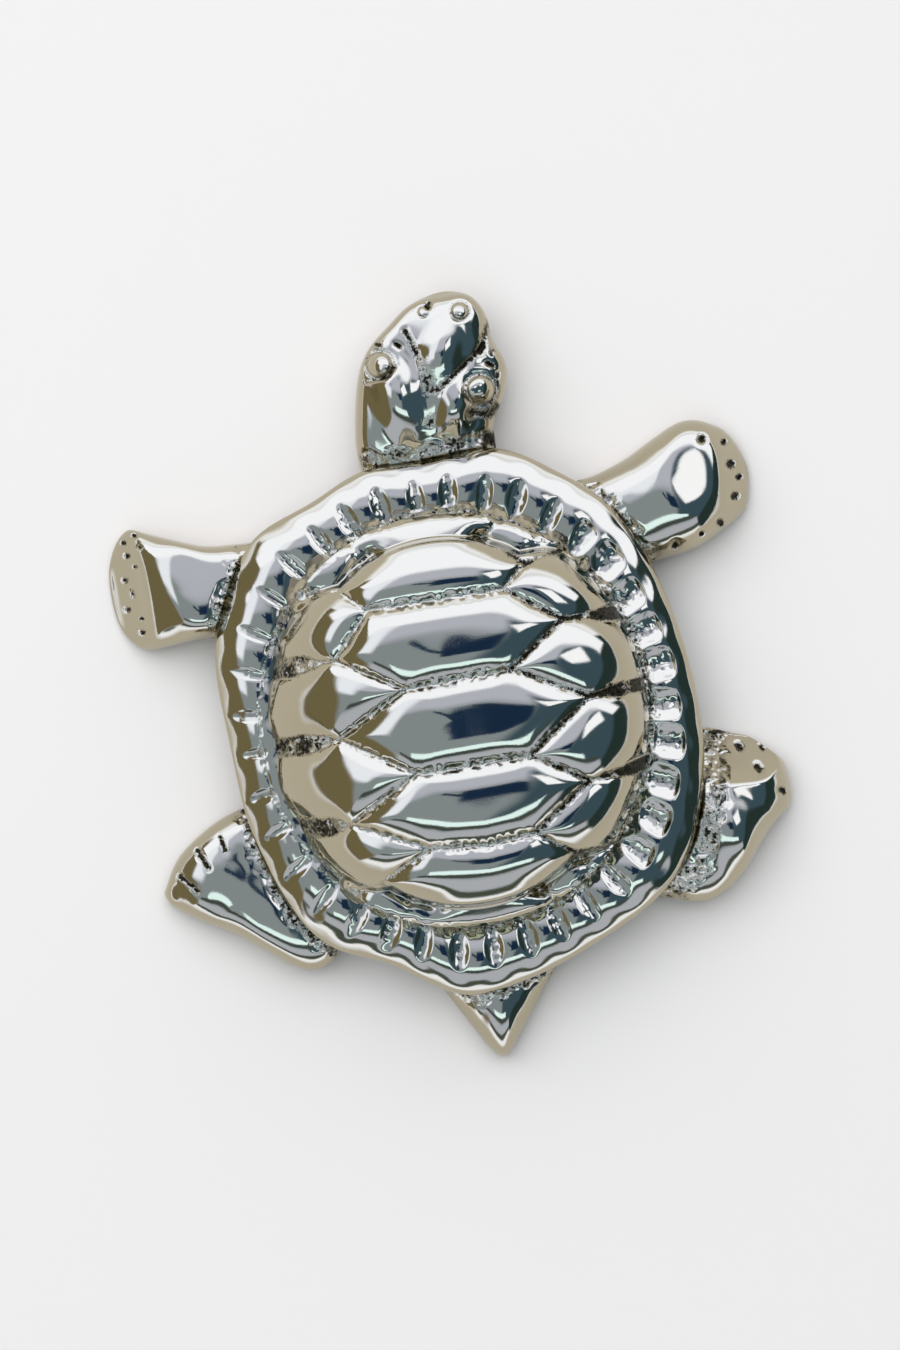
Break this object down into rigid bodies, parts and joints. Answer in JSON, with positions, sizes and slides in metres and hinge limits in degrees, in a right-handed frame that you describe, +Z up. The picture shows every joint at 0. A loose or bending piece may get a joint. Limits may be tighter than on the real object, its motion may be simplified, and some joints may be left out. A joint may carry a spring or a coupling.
{
  "type": "turtle figurine",
  "caption": "Polished cast-metal turtle figurine lying flat, with a domed scute shell, dented rim, head turned slightly to one side, flared feet and a wedge tail, on a felt-lined base.",
  "frame": {"origin": "centre of the felt pad's underside, where the figurine rests", "axes": "+Z up, head towards -Y, tail towards +Y, the turtle's left side towards +X"},
  "size_m": [0.0777, 0.0911, 0.0241],
  "materials": {
    "cast_metal": "mirror-polished cast metal with a warm cast on steep faces and dark oxidised crevices",
    "plate_metal": "as-cast metal with a satin edge",
    "screw_steel": "zinc-plated steel",
    "felt": "dark wool felt"
  },
  "bodies": {
    "root": {"carapace": "cast_metal", "head": "cast_metal", "front_left_leg": "cast_metal", "front_right_leg": "cast_metal", "rear_left_leg": "cast_metal", "rear_right_leg": "cast_metal", "tail": "cast_metal", "belly_plate": "plate_metal", "shell_screws": "screw_steel", "felt_pad": "felt"}
  },
  "joints": []
}
